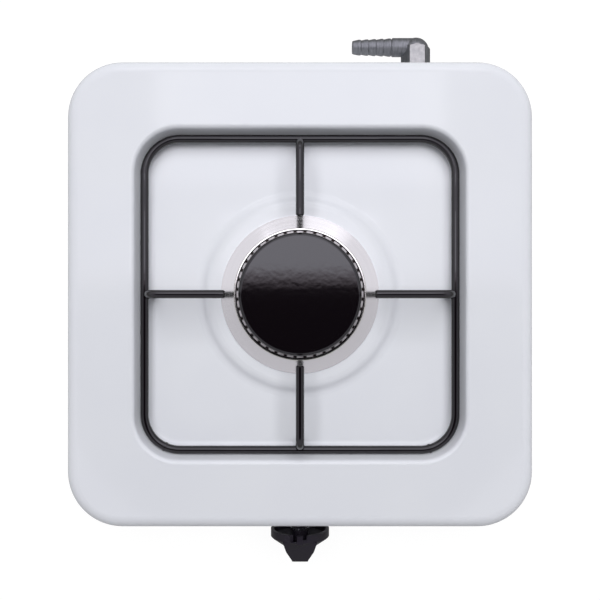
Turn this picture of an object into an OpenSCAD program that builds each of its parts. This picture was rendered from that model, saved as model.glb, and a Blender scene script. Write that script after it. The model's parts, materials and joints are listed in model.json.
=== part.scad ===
// Countertop gas hotplate with one burner, in millimetres.
// The origin lies on the worktop, straight under the middle of the burner. +Z is up.
// The knob faces -Y, and the hose elbow stands behind the back wall, to the right.

/* [Enamelled shell] */
// Width and depth of the square shell
body_width = 295; // [288:1:305]
// Radius of the shell's four corners, seen from above
body_corner_r = 35; // [32:0.5:38]
// Radius of the edge between the top and the sides
shoulder_r = 8; // [6:0.5:10]
// Height of the top plate above the worktop
top_z = 72; // [71:0.5:76]
// Thickness of the enamelled steel sheet
sheet_t = 1; // [0.8:0.1:1.2]
// Width of the flange that is turned in along the bottom edge
flange_w = 20; // [19:0.5:22]
// Outer radius of the bend between side and flange
flange_bend_r = 3; // [2:0.5:4]

/* [Well] */
// Distance from the middle to the line where the well's slope would meet its floor
well_half = 99.5; // [98:0.5:102]
// Radius of that line's corners, seen from above
well_corner_r = 23; // [21:0.5:26]
// Depth of the well below the top plate
well_depth = 15; // [14:0.5:16]
// Angle of the well's walls from the upright
well_draft = 20; // [16:1:24]
// Radius of the lip that rolls from the top plate into the well
well_lip_r = 3; // [2.5:0.25:4]
// Radius of the hollow between the well's wall and floor
well_floor_r = 8; // [7.5:0.25:8.5]
// Height of the round boss that carries the burner above the well's floor
boss_h = 4; // [3:0.5:5]
// Radius where the boss leaves the well's floor
boss_foot_r = 67; // [65:0.5:70]
// Width of the slope between the floor and the boss's flat top
boss_slope_w = 11; // [9:0.5:13]

/* [Burner] */
// Radius of the spill ring's outer edge
spill_ring_r = 50.5; // [50:0.5:53]
// Height of the spill ring's outer edge
spill_edge_h = 0.8; // [0.5:0.1:1.2]
// Height of the spill ring's inner lip above the boss
spill_lip_h = 3; // [2:0.5:4]
// Thickness of the spill ring's collar
collar_t = 1; // [0.8:0.1:1.2]
// Gap between the spill ring's collar and the crown
crown_gap = 1.2; // [1.1:0.1:1.7]
// Radius of the slotted crown
crown_r = 39.8; // [38.8:0.1:40.5]
// Height of the crown above the ledge in the cup
crown_h = 16.5; // [15:0.5:18]
// Wall of the crown
crown_wall = 4.5; // [4:0.25:5]
// Number of flame slots in the crown
slot_count = 40; // [24:4:48]
// Width of a flame slot
slot_w = 1.3; // [1:0.1:1.6]
// Depth of a flame slot below the crown's top
slot_h = 8; // [5:0.5:8.5]
// Depth of the crown's spigot in the cup
spigot_h = 6; // [5:0.5:8]
// Radius of the enamelled cap
cap_r = 38.6; // [37:0.2:39]
// Thickness of the cap
cap_t = 4; // [3.5:0.5:5]
// Rounding of the cap's upper edge
cap_edge_r = 2.3; // [1.5:0.1:3]
// Depth of the ledge that carries the crown below the cup's top
ledge_depth = 4; // [3.5:0.5:5]
// Wall of the cast cup
cup_wall = 3.5; // [3:0.25:4]
// Thickness of the cup's bottom
cup_floor_t = 3; // [2.5:0.5:4]
// Width of the cup's flange under the boss
cup_flange_w = 6.5; // [5:0.5:7]

/* [Mixing tube] */
// Radius of the mixing tube where it enters the cup
tube_r = 9.4; // [9:0.1:10]
// Wall of the mixing tube
tube_wall = 1.5; // [1.25:0.25:2]
// Inner radius of the throat
throat_r = 5.5; // [5:0.25:6]
// Distance of the throat in front of the burner's axis
throat_at = 74; // [72:0.5:76]
// Radius of the head that takes in the air
head_r = 12; // [11.5:0.25:12.5]
// Length of the head
head_len = 16; // [15:0.5:17]
// Length of the air windows in the head
window_len = 9; // [7:0.5:10]
// Angle that each air window spans
window_angle = 60; // [45:5:70]
// Thickness of the air shutter's sleeve
shutter_t = 1; // [0.8:0.1:1.2]
// Angle of the split along the bottom of the air shutter
shutter_split = 24; // [15:1:30]

/* [Pan support] */
// Radius of the enamelled wire
wire_r = 2.6; // [2.1:0.1:2.9]
// Distance from the middle of the ring's wire to the line that the well's slope starts from
ring_inset = 0.5; // [0.4:0.1:1]
// Gap between the wire ring and the hollow that it rests in
ring_seat_gap = 0.25; // [0.2:0.05:0.35]
// Height of the pan above the worktop
pan_z = 85; // [84:0.5:90]
// Distance from the burner's axis to the tip of the front finger
front_tip_at = 43.8; // [42:0.2:48]
// Distance from the burner's axis to the tip of the back finger
back_tip_at = 48.2; // [44:0.2:50]
// Distance from the burner's axis to the tips of the left and right fingers
side_tip_at = 46.2; // [44:0.2:50]
// Radius of a finger's bend, at the middle of the wire
finger_bend_r = 6; // [5:0.5:8]
// Chamfer at a finger's tip
tip_chamfer = 0.8; // [0.4:0.1:1.2]
// Depth that the weld sinks a finger into the ring
weld_bite = 0.2; // [0.1:0.05:0.4]
// Length of a finger's leg below the middle of the ring
leg_below = 3.5; // [2.6:0.1:4]

/* [Tap] */
// Height of the tap and the knob above the worktop
tap_z = 37; // [36:0.5:38]
// Distance from the shell's front to the tap's mounting face
tap_setback = 9; // [8.5:0.5:10]
// Radius of the tap's barrel
barrel_r = 10; // [9.5:0.5:11]
// Length of the tap's body
valve_len = 34.5; // [34:0.5:36]
// Radius of the tapered plug at its front
plug_front_r = 7; // [6.8:0.1:7.2]
// Radius of the tapered plug at its back
plug_back_r = 5.2; // [5:0.1:5.4]
// Length of the tapered plug
plug_len = 22; // [21.5:0.5:22.5]
// Running clearance of the plug, the spindle and the air shutter
running_gap = 0.05; // [0.03:0.01:0.08]
// Radius of the spindle
spindle_r = 4; // [3.5:0.1:4]
// Depth of the flat on the spindle's front end
spindle_flat = 1.2; // [0.8:0.1:1.5]
// Travel of the knob when it is pushed in
push_travel = 3; // [2.5:0.25:3.5]
// Radius of the return spring at the middle of its wire
spring_r = 3.5; // [3.4:0.05:3.6]
// Thickness of the return spring's wire
spring_wire = 0.6; // [0.4:0.1:0.7]
// Turns of the return spring
spring_turns = 5; // [4:1:6]
// Radius of the gas ports in the plug and the body
port_r = 1.8; // [1.5:0.1:2]
// Distance between the two bonnet screws
bonnet_screw_pitch = 26; // [25:0.5:28]
// Radius of the injector's shank
injector_r = 4.5; // [4:0.1:4.5]
// Radius of the injector's orifice
orifice_r = 0.35; // [0.25:0.05:0.5]

/* [Knob] */
// Radius of the knob's skirt
knob_r = 19.5; // [18:0.5:21]
// Width of the gap between the shell and the knob
knob_gap = 8.9; // [8:0.1:10]
// Thickness of the skirt's rim
rim_t = 5.6; // [5:0.2:6.4]
// Height of the cone between the rim and the grip
knob_cone_h = 5.5; // [5:0.5:6]
// Length of the grip in front of the cone
grip_len = 8.7; // [8:0.1:11]
// Width of the grip at its root
grip_root_w = 22; // [20:0.5:24]
// Width of the grip near its tip
grip_tip_w = 11.2; // [9:0.2:13]
// Height of the grip at its root
grip_root_h = 35; // [32:0.5:36]
// Height of the grip at its tip
grip_tip_h = 22; // [18:0.5:26]
// Amount by which the grip's flanks bulge beyond a straight taper
grip_bulge = 0.5; // [0:0.1:1]
// Wall of the moulded knob
knob_wall = 2; // [1.8:0.1:2.4]
// Radius of the knob's hub
hub_r = 5.7; // [5.4:0.1:6]
// Width of the pointer's rib
pointer_w = 4; // [3:0.2:5]

/* [Gas inlet] */
// Distance of the gas inlet to the right of the burner's axis
inlet_x = 77.5; // [75:0.5:82]
// Distance from the shell's back to the hose tail's axis
tail_back = 18.3; // [17.6:0.1:20]
// Width across the flats of the elbow's hexagon
elbow_flats = 17; // [16.5:0.5:19]
// Radius of the elbow's smooth collar
elbow_collar_r = 6.15; // [6.1:0.05:6.5]
// Length of the hose tail and collar from the inlet's axis
tail_reach = 42.5; // [40:0.5:46]
// Number of barbs on the hose tail
barb_count = 5; // [3:1:6]
// Length of one barb
barb_pitch = 5; // [4.5:0.1:5.4]
// Radius of the barb nearest to the collar
barb_r = 5.9; // [5.7:0.05:6]
// Amount by which each barb is smaller than the one before
barb_step = 0.2; // [0.1:0.05:0.25]
// Depth of the groove behind a barb
barb_groove = 0.5; // [0.4:0.05:0.8]
// Length of the neck between the collar and the first barb
tail_neck = 0.9; // [0.6:0.1:1.2]
// Length of the cylindrical land on a barb's crest
barb_land = 1.2; // [0.8:0.1:1.5]
// Length of the steep step up to a barb's crest
barb_rise = 0.4; // [0.2:0.1:0.6]
// Radius of the gas pipe
pipe_r = 4; // [3.8:0.1:4.2]
// Wall of the gas pipe
pipe_wall = 0.8; // [0.6:0.1:1]
// Radius of the pipe's bend, at its middle
pipe_bend_r = 16; // [14:1:20]
// Radius of the threaded nipples that the pipe nuts screw on
nipple_r = 6; // [5.8:0.1:6.2]
// Width across the flats of the pipe nuts
nut_flats = 16; // [15:0.5:17]

/* [Brackets and feet] */
// Height of the rubber feet
foot_h = 8; // [7:0.5:9]
// Radius of the rubber feet on the worktop
foot_r = 9; // [8:0.5:9.5]
// Radius of the foot's stem
foot_stem_r = 3; // [2.5:0.25:3.5]
// Width of the strap under the burner
strap_w = 30; // [26:1:34]
// Thickness of the strap and of the tap's bracket
bracket_t = 1.5; // [1.2:0.1:2]
// Width of the tap's bracket
tap_bracket_w = 40; // [38:1:44]
// Radius of the screws' shanks
screw_r = 1.95; // [1.8:0.05:2]

/* [Hidden] */
$fn = 72;

enamel_white = "#eceef4";
enamel_black = "#17151a";
turned_aluminium = "#c9cacd";
cast_aluminium = "#a9abae";
brass = "#c8a75a";
zinc_plate = "#b9bcc0";
zinc_casting = "#8d8f90";
black_plastic = "#232227";
black_rubber = "#2b2b2d";
spring_steel = "#84878b";
copper_pipe = "#b87a55";
red_fibre = "#8f3b30";

// A cut passes this far beyond the faces that it opens
through = 1;
// Clearance of a screw or stem in its hole
hole_gap = 0.15;

// Shell
body_half = body_width / 2;
body_corner_at = body_half - body_corner_r;
well_corner_at = well_half - well_corner_r;
floor_z = top_z - well_depth;
well_slope_w = well_depth * tan(well_draft);
well_floor_at = well_corner_r - well_floor_r * tan(45 - well_draft / 2);
well_rim_at = well_corner_r + well_slope_w + well_lip_r * tan(45 - well_draft / 2);
boss_z = floor_z + boss_h;
boss_top_r = boss_foot_r - boss_slope_w;
boss_angle = 2 * atan(boss_h / boss_slope_w);
boss_bend_r = boss_slope_w / 2 / sin(boss_angle);
flange_z = foot_h + sheet_t;

// Burner, from the boss outwards and down
collar_inner_r = crown_r + crown_gap;
collar_outer_r = collar_inner_r + collar_t;
shell_hole_r = collar_outer_r + 2 * hole_gap;
cup_top_z = boss_z - sheet_t;
ledge_z = cup_top_z - ledge_depth;
crown_top_z = ledge_z + crown_h;
crown_bore_r = crown_r - crown_wall;
slot_z = crown_top_z - slot_h;
crown_foot_r = collar_inner_r - 2 * hole_gap;
crown_foot_z = boss_z + spill_lip_h - 0.6;
spigot_t = 1.7;
spigot_r = crown_bore_r + spigot_t;
cup_bore_r = spigot_r + 2 * hole_gap;
cup_r = cup_bore_r + cup_wall;
cup_rim_r = max(collar_outer_r + hole_gap + cup_wall, cup_r);
cup_rim_h = ledge_depth + cup_floor_t;
cup_draft = 4;
cup_flange_r = collar_outer_r + cup_flange_w;
cup_flange_t = 2.5;
tube_axis_clear = 1;
socket_r = tube_r + cup_wall;
socket_front = 54;
cup_floor_z = tap_z - tube_r - tube_axis_clear;
cup_bottom_z = cup_floor_z - cup_floor_t;
cup_screw_at = 14;
cup_boss_r = 5;
cup_boss_h = 6.5;
cup_chamfer = 5;
cap_rib_t = 1.7;
cap_rib_h = 3.5;
cap_rib_gap = 0.3;

// Tap, measured forwards from the burner's axis
valve_front = body_half - tap_setback;
valve_back = valve_front - valve_len;
bonnet_front = valve_front + 2 * bracket_t;
plug_setback = 7;
plug_front = valve_front - plug_setback;
ear_t = 4;
bonnet_boss_len = 12;
bonnet_hole_len = 10;
plug_back = plug_front - plug_len;
counterbore_r = plug_front_r + 0.2;
plug_pocket_r = spring_r + spring_wire / 2 + 0.8;
plug_pocket_depth = 9.5;
pocket_floor = plug_front - plug_pocket_depth;
drive_r = 2.5;
drive_flat = 0.7;
drive_engage = 2;
drive_depth = drive_engage + push_travel + 1;
spring_len = 7.5;
spindle_shoulder = pocket_floor + spring_len;
spindle_stub = pocket_floor - drive_engage;
port_inset = 3.5;
port_at = plug_back + port_inset;
stop_collar_r = 6;
stop_collar_t = 2;
stop_collar_gap = 0.1;
wall_hole_r = 6.5;
thread_r = 2.95;
thread_len = 4;
injector_tip_r = 1.5;
injector_cone = 3;
injector_len = 11;
injector_bore_r = 1.6;

// Mixing tube, measured forwards from the burner's axis
head_gap = 4;
head_front = valve_back - head_gap;
head_back = head_front - head_len;
head_wall_t = 2.5;
tube_entry = cup_bore_r + 0.8;
tube_taper_at = 58;
window_back = head_front - head_wall_t - window_len - 2.5;
shutter_back = window_back - 1.5;
shutter_len = window_len + 3;
shutter_inner_r = head_r + 2 * running_gap;
shutter_tab = 7;

// Knob, measured forwards from the burner's axis
knob_back = body_half + knob_gap;
rim_front = knob_back + rim_t;
cone_front = rim_front + knob_cone_h;
knob_tip = cone_front + grip_len;
cone_front_r = grip_root_w / 2;
rim_edge = 0.8;
hub_back = knob_back - 1.5;
hub_bore_front = cone_front + 3.5;
spindle_front = hub_bore_front - 1;
flat_back = hub_back - 3;

// Pan support
ring_half = well_half - ring_inset;
ring_corner_r = ring_half - well_corner_at;
ring_seat_across = ring_corner_r - well_floor_at;
ring_seat_reach = well_floor_r - wire_r - ring_seat_gap;
ring_z = floor_z + well_floor_r - sqrt(pow(ring_seat_reach, 2) - pow(ring_seat_across, 2));
leg_at = ring_half - 2 * wire_r + weld_bite;
rod_z = pan_z - wire_r;

// Gas inlet
tail_y = body_half + tail_back;
lock_nut_t = 3.5;
washer_t = 1.5;
elbow_foot_y = body_half + lock_nut_t + washer_t;
elbow_shoulder_y = tail_y - 0.5;
elbow_dome_rise = 0.15;
elbow_dome_h = tail_y + elbow_collar_r + elbow_dome_rise - elbow_shoulder_y;
elbow_dome_foot_r = elbow_flats / 2 + 0.2;
elbow_dome_r = (pow(elbow_dome_foot_r, 2) + pow(elbow_dome_h, 2)) / 2 / elbow_dome_h;
tail_bore_r = 3;
elbow_bore_r = tail_bore_r + 0.4;
tail_tip_len = 0.9;
inlet_thread_r = 6.45;
inlet_thread_gap = 0.1;
inlet_flats = 19;
inlet_hex_t = 6;
inlet_bore_r = 2.5;
nipple_len = 10.5;
nipple_back = body_half - sheet_t - inlet_hex_t;
pipe_into_nipple = 4;
nut_overlap = 7;
nut_len = 14;
olive_len = 3;
pipe_gap = 0.05;
tap_branch_len = 16;
tap_nipple_end = barrel_r + tap_branch_len;
pipe_run_end = -port_at + pipe_bend_r;

// Brackets, feet and screws
foot_at = body_corner_at + (body_corner_r - flange_w / 2) * cos(45);
foot_top_r = foot_r - 1;
foot_head_r = foot_stem_r + 1.6;
foot_head_h = 3;
strap_foot_in = body_half - flange_w;
strap_rise_w = 14;
screw_head_r = 3.5;
screw_head_h = 2.2;
small_screw_r = 1.45;
small_head_r = 3;
bonnet_boss_r = small_head_r + 0.7;
screw_inset = 6;
strap_screw_x = body_half - flange_w / 2;
strap_screw_y = strap_w / 2 - screw_inset;
tap_screw_x = tap_bracket_w / 2 - screw_inset;
tap_screw_at = valve_front - screw_inset;
tap_bracket_head = 4;
tap_bracket_top = tap_z + barrel_r + tap_bracket_head;
tap_bracket_foot = 10.5;
tap_bracket_back = valve_front - tap_bracket_foot;
bracket_screw_len = sheet_t + bracket_t + 3;

// A strip of sheet bent round the origin, from one angle to another at most 90 degrees on
module bend(inner_r, from, to, t = sheet_t) {
    reach = 2 * (inner_r + t);
    middle = (from + to) / 2;
    intersection() {
        difference() {
            circle(inner_r + t);
            circle(inner_r);
        }
        polygon([[0, 0], reach * [cos(from), sin(from)], reach * [cos(middle), sin(middle)],
            reach * [cos(to), sin(to)]]);
    }
}

// Carries a profile round a square with round corners. The profile's x is the distance from the
// corner's centre, and its y is the height.
module around_square(corner_at) {
    for (turn = [0 : 90 : 270])
        rotate(turn)
            translate([corner_at, corner_at, 0]) {
                rotate_extrude(angle = 90)
                    children();
                rotate([90, 0, 0])
                    linear_extrude(2 * corner_at)
                        children();
            }
}

// A square outline with round corners
module rounded_square(half, r) {
    square(2 * [half - r, half], center = true);
    square(2 * [half, half - r], center = true);
    for (x = [-1, 1], y = [-1, 1])
        translate([x, y] * (half - r))
            circle(r);
}

// An outline from the axis to a rounded rim, for turning
module rounded_rim(r, low, high, low_r, high_r) {
    intersection() {
        translate([0, low])
            square([r, high - low]);
        union() {
            translate([0, low])
                square([r - low_r, high - low - high_r]);
            translate([0, low + low_r])
                square([r - high_r, high - low - low_r]);
            translate([0, low + low_r])
                square([r, high - low - low_r - high_r]);
            translate([r - low_r, low + low_r])
                circle(low_r);
            translate([r - high_r, high - high_r])
                circle(high_r);
        }
    }
}

// Puts what is drawn along +Z on the tap's axis, with +Z pointing forwards
module on_tap_axis() {
    translate([0, 0, tap_z])
        rotate([90, 0, 0])
            children();
}

// Puts what is drawn along +Z on the gas inlet's axis, with +Z pointing backwards
module on_inlet_axis() {
    translate([inlet_x, 0, tap_z])
        rotate([-90, 0, 0])
            children();
}

// Puts what is drawn along +Z on the tap's side branch, with +Z pointing to the right
module on_branch_axis() {
    translate([0, -port_at, tap_z])
        rotate([0, 90, 0])
            children();
}

// A plain round bar or hole between two places on its axis
module bar(r, from, to) {
    translate([0, 0, from])
        cylinder(r = r, h = to - from);
}

// A hexagon between two places on its axis, with its flats at the top and the bottom
module hexagon(flats, from, to) {
    translate([0, 0, from])
        cylinder(r = flats / 2 / cos(30), h = to - from, $fn = 6);
}

// A hexagon whose corners are turned off at both ends
module turned_hexagon(flats, from, to) {
    corner_r = flats / 2 / cos(30);
    ease = corner_r - flats / 2;
    intersection() {
        hexagon(flats, from, to);
        rotate_extrude()
            polygon([[0, from], [flats / 2, from], [corner_r, from + ease / 2],
                [corner_r, to - ease / 2], [flats / 2, to], [0, to]]);
    }
}

// Profile of the shell from the top plate over the shoulder to the flange
module rim_profile() {
    translate([0, top_z - sheet_t])
        square([body_corner_r - shoulder_r, sheet_t]);
    translate([body_corner_r - shoulder_r, top_z - shoulder_r])
        bend(shoulder_r - sheet_t, 0, 90);
    translate([body_corner_r - sheet_t, foot_h + flange_bend_r])
        square([sheet_t, top_z - shoulder_r - foot_h - flange_bend_r]);
    translate([body_corner_r - flange_bend_r, foot_h + flange_bend_r])
        bend(flange_bend_r - sheet_t, 270, 360);
    translate([body_corner_r - flange_w, foot_h])
        square([flange_w - flange_bend_r, sheet_t]);
}

// Profile of the well from its floor up the slope to the lip
module well_profile() {
    out = [cos(well_draft), -sin(well_draft)];
    floor_centre = [well_floor_at, floor_z + well_floor_r];
    lip_centre = [well_rim_at, top_z - well_lip_r];
    slope_foot = floor_centre + well_floor_r * out;
    slope_top = lip_centre - well_lip_r * out;
    translate([0, floor_z - sheet_t])
        square([well_floor_at, sheet_t]);
    translate(floor_centre)
        bend(well_floor_r, 270, 360 - well_draft);
    polygon([slope_foot, slope_foot + sheet_t * out, slope_top + sheet_t * out, slope_top]);
    translate(lip_centre)
        bend(well_lip_r - sheet_t, 90, 180 - well_draft);
}

// Profile of the boss from its flat top down the slope to the well's floor
module boss_profile() {
    translate([shell_hole_r, boss_z - sheet_t])
        square([boss_top_r - shell_hole_r, sheet_t]);
    translate([boss_top_r, boss_z - boss_bend_r])
        bend(boss_bend_r - sheet_t, 90 - boss_angle, 90);
    translate([boss_foot_r, floor_z + boss_bend_r])
        bend(boss_bend_r, 270 - boss_angle, 270);
}

module shell_holes() {
    on_tap_axis()
        bar(wall_hole_r, body_half - 2 * sheet_t, body_half + through);
    on_inlet_axis()
        bar(inlet_thread_r + hole_gap, body_half - 2 * sheet_t, body_half + through);
    for (x = [-1, 1], y = [-1, 1])
        translate([x, y] * foot_at)
            bar(foot_stem_r + hole_gap, foot_h - through, flange_z + through);
    for (x = [-1, 1], y = [-1, 1])
        translate([x * strap_screw_x, y * strap_screw_y])
            bar(screw_r + hole_gap, foot_h - through, flange_z + through);
    for (x = [-1, 1])
        translate([x * tap_screw_x, -tap_screw_at])
            bar(screw_r + hole_gap, foot_h - through, flange_z + through);
}

// The shell is drawn from one sheet: top plate, shoulder, sides, flange, well and boss
module top_shell() {
    color(enamel_white)
        difference() {
            union() {
                around_square(body_corner_at)
                    rim_profile();
                translate([0, 0, top_z - sheet_t])
                    linear_extrude(sheet_t)
                        difference() {
                            square(2 * body_corner_at, center = true);
                            rounded_square(well_corner_at + well_rim_at, well_rim_at);
                        }
                around_square(well_corner_at)
                    well_profile();
                translate([0, 0, floor_z - sheet_t])
                    linear_extrude(sheet_t)
                        difference() {
                            square(2 * well_corner_at, center = true);
                            circle(boss_foot_r);
                        }
                rotate_extrude()
                    boss_profile();
            }
            shell_holes();
        }
}

// A rubber foot, whose stem is pulled through the flange up to its head
module foot(side_x, side_y) {
    color(black_rubber)
        translate([side_x * foot_at, side_y * foot_at, 0])
            rotate_extrude()
                polygon([[0, 0], [foot_r - 0.6, 0], [foot_r, 0.6], [foot_top_r, foot_h],
                    [foot_stem_r, foot_h], [foot_stem_r, flange_z], [foot_head_r, flange_z],
                    [foot_stem_r - 1, flange_z + foot_head_h], [0, flange_z + foot_head_h]]);
}

module foot_front_left()
    foot(-1, -1);

module foot_front_right()
    foot(1, -1);

module foot_back_left()
    foot(-1, 1);

module foot_back_right()
    foot(1, 1);

// The ring lies in the hollow round the well's floor
module pan_support_ring() {
    color(enamel_black)
        around_square(well_corner_at)
            translate([ring_corner_r, ring_z])
                circle(wire_r);
}

// A finger stands beside the ring, bends over and reaches towards the burner
module finger(turn, tip_at) {
    bend_at = leg_at - finger_bend_r;
    color(enamel_black)
        rotate(turn)
            difference() {
                union() {
                    translate([0, 0, rod_z])
                        rotate([0, 90, 0])
                            rotate_extrude()
                                polygon([[0, tip_at], [wire_r - tip_chamfer, tip_at],
                                    [wire_r, tip_at + tip_chamfer], [wire_r, bend_at], [0, bend_at]]);
                    translate([bend_at, 0, rod_z - finger_bend_r])
                        rotate([90, 0, 0])
                            rotate_extrude(angle = 90)
                                translate([finger_bend_r, 0])
                                    circle(wire_r);
                    translate([leg_at, 0, 0])
                        bar(wire_r, ring_z - leg_below, rod_z - finger_bend_r);
                }
                translate([ring_half, 0, ring_z])
                    rotate([90, 0, 0])
                        cylinder(r = wire_r, h = 4 * wire_r, center = true);
            }
}

module finger_right()
    finger(0, side_tip_at);

module finger_back()
    finger(90, back_tip_at);

module finger_left()
    finger(180, side_tip_at);

module finger_front()
    finger(270, front_tip_at);

// The turned ring covers the hole in the boss, and its collar centres the crown
module spill_ring() {
    lip_z = boss_z + spill_lip_h;
    color(turned_aluminium)
        rotate_extrude()
            polygon([[collar_inner_r, ledge_z + hole_gap], [collar_outer_r, ledge_z + hole_gap],
                [collar_outer_r, boss_z], [spill_ring_r, boss_z], [spill_ring_r, boss_z + spill_edge_h],
                [collar_outer_r + 0.4, lip_z - 0.3], [collar_outer_r, lip_z],
                [collar_inner_r + 0.3, lip_z], [collar_inner_r, lip_z - 0.4]]);
}

// The crown stands on the cup's ledge, its foot fills the spill ring's collar, and the cap closes its slots
module burner_crown() {
    color(cast_aluminium)
        difference() {
            rotate_extrude()
                polygon([[crown_bore_r, ledge_z - spigot_h], [spigot_r, ledge_z - spigot_h],
                    [spigot_r, ledge_z], [crown_foot_r, ledge_z], [crown_foot_r, crown_foot_z],
                    [crown_r, crown_foot_z], [crown_r, crown_top_z], [crown_bore_r, crown_top_z]]);
            for (i = [0 : slot_count - 1])
                rotate((i + 0.5) * 360 / slot_count)
                    translate([crown_bore_r - through, -slot_w / 2, slot_z])
                        cube([crown_wall + 2 * through, slot_w, slot_h + through]);
        }
}

// The cap closes the slots, and a rib under it keeps it in the crown
module burner_cap() {
    rib_r = crown_bore_r - cap_rib_gap;
    color(enamel_black)
        rotate_extrude() {
            rounded_rim(cap_r, crown_top_z, crown_top_z + cap_t, 0.5, cap_edge_r);
            translate([rib_r - cap_rib_t, crown_top_z - cap_rib_h])
                square([cap_rib_t, cap_rib_h + cap_t / 2]);
        }
}

// The cast cup hangs under the boss and takes the gas from the mixing tube
module burner_cup() {
    rim_z = cup_top_z - cup_rim_h;
    color(cast_aluminium)
        difference() {
            union() {
                rotate_extrude()
                    polygon([[0, cup_bottom_z], [cup_r - cup_chamfer, cup_bottom_z],
                        [cup_r, cup_bottom_z + cup_chamfer], [cup_r, rim_z - cup_draft], [cup_rim_r, rim_z],
                        [cup_rim_r, cup_top_z - cup_flange_t], [cup_flange_r, cup_top_z - cup_flange_t],
                        [cup_flange_r, cup_top_z], [collar_outer_r + hole_gap, cup_top_z],
                        [collar_outer_r + hole_gap, ledge_z], [cup_bore_r, ledge_z],
                        [cup_bore_r, cup_floor_z], [0, cup_floor_z]]);
                difference() {
                    on_tap_axis()
                        bar(socket_r, cup_bore_r, socket_front);
                    bar(cup_bore_r, cup_floor_z, cup_top_z);
                }
                for (x = [-1, 1])
                    translate([x * cup_screw_at, 0])
                        bar(cup_boss_r, cup_floor_z - cup_floor_t / 2, cup_floor_z + cup_boss_h);
            }
            on_tap_axis()
                bar(tube_r + pipe_gap, cup_bore_r / 2, socket_front + through);
            for (x = [-1, 1])
                translate([x * cup_screw_at, 0])
                    bar(screw_r + hole_gap, cup_bottom_z - through, cup_floor_z + cup_boss_h - 1.5);
        }
}

// A pan-head screw that stands on its head, with a cross slot
module upright_screw(z, length) {
    difference() {
        union() {
            bar(screw_head_r, z - screw_head_h, z);
            bar(screw_r, z, z + length);
        }
        for (turn = [0, 90])
            rotate(turn)
                translate([-screw_head_r * 0.6, -0.45, z - screw_head_h - through])
                    cube([screw_head_r * 1.2, 0.9, through + 1]);
    }
}

module cup_screws() {
    color(zinc_plate)
        for (x = [-1, 1])
            translate([x * cup_screw_at, 0])
                upright_screw(cup_bottom_z - bracket_t, bracket_t + cup_floor_t + cup_boss_h - 2);
}

// A sector of a cylinder's wall, centred on the x axis
module wall_window(angle, r, from, to) {
    translate([0, 0, from])
        linear_extrude(to - from)
            polygon([[0, 0], r * [cos(angle / 2), -sin(angle / 2)] / cos(angle / 2),
                r * [cos(angle / 2), sin(angle / 2)] / cos(angle / 2)]);
}

// The tube draws in air beside the jet and widens behind its throat
module mixing_tube() {
    color(cast_aluminium)
        on_tap_axis()
            difference() {
                rotate_extrude()
                    polygon([[tube_r - tube_wall, tube_entry], [tube_r, tube_entry],
                        [tube_r, tube_taper_at], [throat_r + tube_wall + 0.5, throat_at],
                        [head_r, head_back], [head_r, head_front], [injector_r + hole_gap, head_front],
                        [injector_r + hole_gap, head_front - head_wall_t],
                        [head_r - tube_wall, head_front - head_wall_t], [head_r - tube_wall, head_back + 2],
                        [throat_r, throat_at]]);
                for (turn = [0, 180])
                    rotate(turn)
                        wall_window(window_angle, 2 * head_r, window_back, window_back + window_len);
            }
}

// The split sleeve turns on the head to set the air, and the tab at the split turns it
module air_shutter() {
    color(spring_steel)
        on_tap_axis()
            difference() {
                union() {
                    bar(shutter_inner_r + shutter_t, shutter_back, shutter_back + shutter_len);
                    rotate(-90 - shutter_split / 2)
                        translate([shutter_inner_r + shutter_t / 2, -1.5 * shutter_t, shutter_back])
                            cube([shutter_tab, shutter_t, shutter_len]);
                }
                bar(shutter_inner_r, shutter_back - through, shutter_back + shutter_len + through);
                for (turn = [0, 180])
                    rotate(turn)
                        wall_window(window_angle, 2 * head_r, window_back, window_back + window_len);
                rotate(-90)
                    wall_window(shutter_split, 2 * head_r, shutter_back - through,
                        shutter_back + shutter_len + through);
            }
}

// The jet screws into the back of the tap and blows into the tube's throat
module injector() {
    tip = valve_back - injector_len;
    color(brass)
        on_tap_axis()
            rotate_extrude()
                polygon([[orifice_r, tip], [injector_tip_r, tip], [injector_r, tip + injector_cone],
                    [injector_r, valve_back], [thread_r, valve_back], [thread_r, valve_back + thread_len],
                    [injector_bore_r, valve_back + thread_len], [injector_bore_r, tip + 2], [orifice_r, tip + 1]]);
}

// Outline of the tap's front face and of its bonnet, with an ear for each screw
module ear_outline() {
    circle(barrel_r);
    square([bonnet_screw_pitch, 2 * small_head_r + 2], center = true);
    for (x = [-1, 1])
        translate([x * bonnet_screw_pitch / 2, 0])
            circle(small_head_r + 1);
}

module bonnet_screw_places() {
    for (x = [-1, 1])
        translate([x * bonnet_screw_pitch / 2, 0])
            children();
}

// The tap's body has a tapered bore, a branch for the gas pipe and a thread for the jet
module valve_body() {
    color(brass)
        difference() {
            union() {
                on_tap_axis() {
                    bar(barrel_r, valve_back, valve_front - ear_t / 2);
                    translate([0, 0, valve_front - ear_t])
                        linear_extrude(ear_t)
                            ear_outline();
                    bonnet_screw_places()
                        bar(bonnet_boss_r, valve_front - bonnet_boss_len, valve_front - ear_t / 2);
                }
                on_branch_axis()
                    bar(nipple_r, 0, tap_nipple_end);
                on_branch_axis()
                    bar(nipple_r + 1.5, 0, tap_nipple_end - nut_overlap - 2);
            }
            on_tap_axis() {
                rotate_extrude()
                    polygon([[0, valve_back - through], [thread_r + pipe_gap, valve_back - through],
                        [thread_r + pipe_gap, plug_back], [plug_back_r + running_gap, plug_back],
                        [plug_front_r + running_gap, plug_front], [counterbore_r, plug_front],
                        [counterbore_r, valve_front + through], [0, valve_front + through]]);
                bonnet_screw_places()
                    bar(small_screw_r + pipe_gap, valve_front - bonnet_hole_len, valve_front + through);
            }
            on_branch_axis() {
                bar(port_r, plug_back_r - 1, tap_nipple_end);
                bar(pipe_r + pipe_gap, tap_nipple_end - pipe_into_nipple, tap_nipple_end + through);
            }
        }
}

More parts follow.
